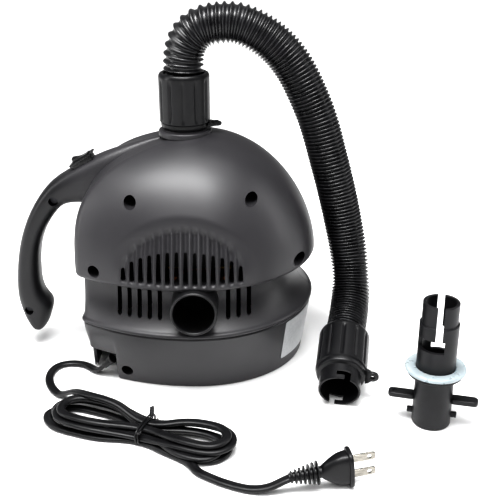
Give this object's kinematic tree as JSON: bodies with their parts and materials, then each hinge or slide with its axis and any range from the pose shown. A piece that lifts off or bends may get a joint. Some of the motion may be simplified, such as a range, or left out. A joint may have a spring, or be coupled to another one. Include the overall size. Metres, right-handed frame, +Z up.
{
  "type": "electric air mattress pump",
  "caption": "Electric air mattress pump: domed housing with hook handle, front grille and port, stretch hose with bayonet cuffs, mains lead and a loose valve adapter.",
  "frame": {"origin": "middle of the flat base plate's underside, on the floor, under the motor's axis", "axes": "+Z up along the motor's axis, -Y the front with the grille and the suction port, +X away from the handle; y = 0 is the seam of the housing halves"},
  "size_m": [0.3876, 0.3255, 0.3054],
  "materials": {
    "housing": "satin charcoal moulding",
    "black_plastic": "satin black moulding",
    "bracket": "matte",
    "hose": "glossy corrugated",
    "cord": "satin",
    "nickel": "bright nickel plate",
    "steel": "zinc plate",
    "lamination": "dull",
    "copper": "enamelled wire and copper",
    "brass": "satin",
    "carbon": "matte",
    "label": "matte film",
    "washer": "soft translucent"
  },
  "bodies": {
    "housing": {"front_shell": "housing", "rear_shell": "housing", "base_plate": "black_plastic", "outlet_collar": "housing", "deflate_port": "black_plastic", "rating_label": "label", "switch_body": "black_plastic", "case_screw_1": "steel", "case_screw_2": "steel", "case_screw_3": "steel", "case_screw_4": "steel", "case_screw_5": "steel", "case_screw_6": "steel", "case_screw_7": "steel", "plate_screw_1": "steel", "plate_screw_2": "steel", "plate_screw_3": "steel", "fan_case": "black_plastic", "fan_floor": "black_plastic", "stator_core": "lamination", "field_coil_right": "copper", "field_coil_left": "copper", "motor_foot": "bracket", "motor_cap": "bracket", "lower_bearing": "steel", "upper_bearing": "steel", "brush_left": "carbon", "brush_right": "carbon", "brush_holder_left": "brass", "brush_holder_right": "brass", "stack_screw_1": "steel", "stack_screw_2": "steel", "strain_relief": "cord", "hose": "hose", "free_cuff": "housing", "cord_lead": "cord", "cord_hank": "cord", "cord_tie": "cord", "cord_tail": "cord", "plug_body": "cord", "plug_blade_upper": "nickel", "plug_blade_lower": "nickel"},
    "rotor": {"motor_shaft": "steel", "rotor_core": "lamination", "rotor_winding_lower": "copper", "rotor_winding_upper": "copper", "commutator": "copper", "impeller": "black_plastic", "impeller_nut": "brass"},
    "rocker": {"switch_rocker": "black_plastic"},
    "hose_cuff": {"pump_cuff": "housing"},
    "adapter": {"adapter_body": "black_plastic", "adapter_washer": "washer"}
  },
  "joints": [
    {"name": "rotor_spin", "type": "hinge", "parent": "housing", "child": "rotor", "pos_m": [0, 0, 0.06], "axis": [0, 0, 1], "continuous": true},
    {"name": "switch_rock", "type": "hinge", "parent": "housing", "child": "rocker", "pos_m": [-0.09881, 0, 0.17501], "axis": [0, 1, 0], "range_deg": [-18, 0]},
    {"name": "cuff_twist", "type": "hinge", "parent": "housing", "child": "hose_cuff", "pos_m": [-0.0096, 0, 0.2033], "axis": [0, 0, 1], "range_deg": [-22, 0]},
    {"name": "adapter_lift", "type": "slide", "parent": "housing", "child": "adapter", "axis": [0, 0, 1], "range_m": [0, 0.12]}
  ]
}
